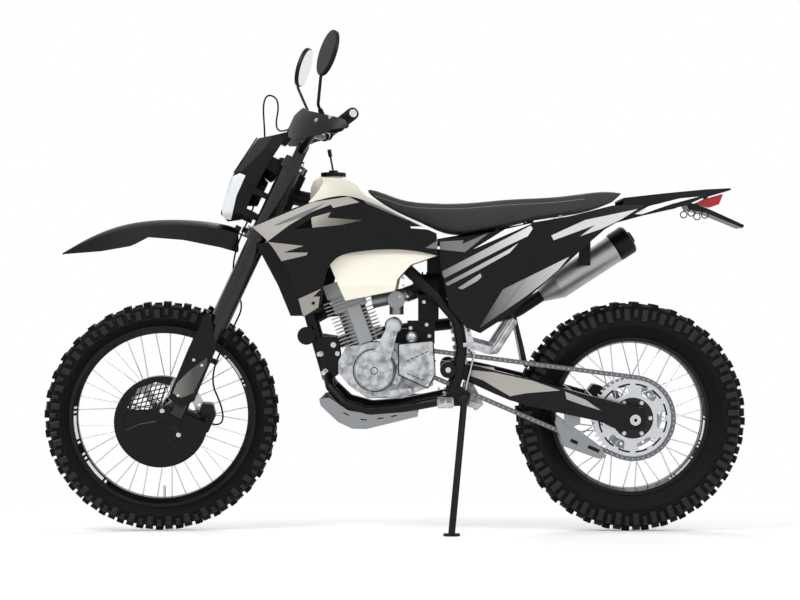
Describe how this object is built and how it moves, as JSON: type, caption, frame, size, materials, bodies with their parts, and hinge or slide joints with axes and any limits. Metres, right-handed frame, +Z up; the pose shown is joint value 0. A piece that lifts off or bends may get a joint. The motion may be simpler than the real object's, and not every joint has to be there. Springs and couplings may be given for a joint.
{
  "type": "enduro motorcycle on its side stand",
  "caption": "Enduro motorcycle leaning on its side stand, with turning wheels, steering and a folding side stand.",
  "frame": {"origin": "centre of the overall box, on the ground", "axes": "+X to the tail, +Y to the rider's right, +Z up"},
  "size_m": [2.1028, 0.8217, 1.548],
  "materials": {
    "frame_black": "satin",
    "bright_alloy": "cast and machined",
    "black_alloy": "anodised black",
    "steel": "ground",
    "silencer": "brushed",
    "black_plastic": "moulded",
    "cream_tank": "moulded natural",
    "seat_cover": "grained vinyl",
    "grip_rubber": "ribbed",
    "tyre_rubber": "moulded",
    "clear_lens": "clear",
    "smoke_screen": "tinted",
    "red_lens": "clear red"
  },
  "bodies": {
    "chassis": {"frame_spine": "frame_black", "frame_spars": "frame_black", "frame_cradles": "frame_black", "subframe": "frame_black", "swingarm": "frame_black", "swingarm_bolts": "steel", "shock_absorber": "steel", "suspension_linkage": "bright_alloy", "engine_case": "bright_alloy", "engine_top": "bright_alloy", "carburettor": "bright_alloy", "air_box": "black_plastic", "exhaust_header": "frame_black", "muffler": "silencer", "fuel_tank": "cream_tank", "tank_cap": "black_plastic", "seat": "seat_cover", "shrouds": "black_plastic", "side_panels": "black_plastic", "rear_fender": "black_plastic", "horn": "black_plastic", "inner_mudguard": "black_plastic", "tail_light": "red_lens", "plate_holder": "black_plastic", "skid_plate": "bright_alloy", "foot_pegs": "bright_alloy", "passenger_pegs": "bright_alloy", "foot_levers": "bright_alloy", "chain": "steel", "chain_guide": "bright_alloy", "rear_caliper": "black_alloy"},
    "steering": {"triple_clamps": "black_alloy", "fork_uppers": "black_alloy", "fork_lowers": "black_alloy", "fork_guards": "black_plastic", "front_axle": "steel", "disc_cover": "black_plastic", "front_caliper": "black_alloy", "handlebar": "black_alloy", "grips": "grip_rubber", "mirrors": "black_plastic", "hand_guards": "black_plastic", "instrument": "black_plastic", "front_fender": "black_plastic", "headlight_mask": "black_plastic", "headlight": "clear_lens", "windscreen": "smoke_screen", "brake_hose": "grip_rubber"},
    "front_wheel": {"front_tyre": "tyre_rubber", "front_rim": "black_alloy", "front_hub": "black_alloy", "front_disc": "steel"},
    "rear_wheel": {"rear_tyre": "tyre_rubber", "rear_rim": "black_alloy", "rear_hub": "black_alloy", "rear_disc": "steel", "rear_sprocket": "steel"},
    "side_stand": {"side_stand": "frame_black"}
  },
  "joints": [
    {"name": "steering", "type": "hinge", "parent": "chassis", "child": "steering", "pos_m": [-0.34287, 0.02281, 0.98738], "axis": [0.4226, -0.1261, 0.8975], "range_deg": [-49, 31]},
    {"name": "front_wheel_spin", "type": "hinge", "parent": "steering", "child": "front_wheel", "pos_m": [-0.70511, 0.10436, 0.3449], "axis": [0.1418, -0.9689, -0.2029], "continuous": true},
    {"name": "rear_wheel_spin", "type": "hinge", "parent": "chassis", "child": "rear_wheel", "pos_m": [0.70627, 0.11289, 0.34638], "axis": [0, -0.9903, -0.1392], "continuous": true},
    {"name": "side_stand_fold", "type": "hinge", "parent": "chassis", "child": "side_stand", "pos_m": [0.20327, -0.03608, 0.38604], "axis": [-0.1807, -0.9678, 0.1754], "range_deg": [0, 99.5]}
  ]
}
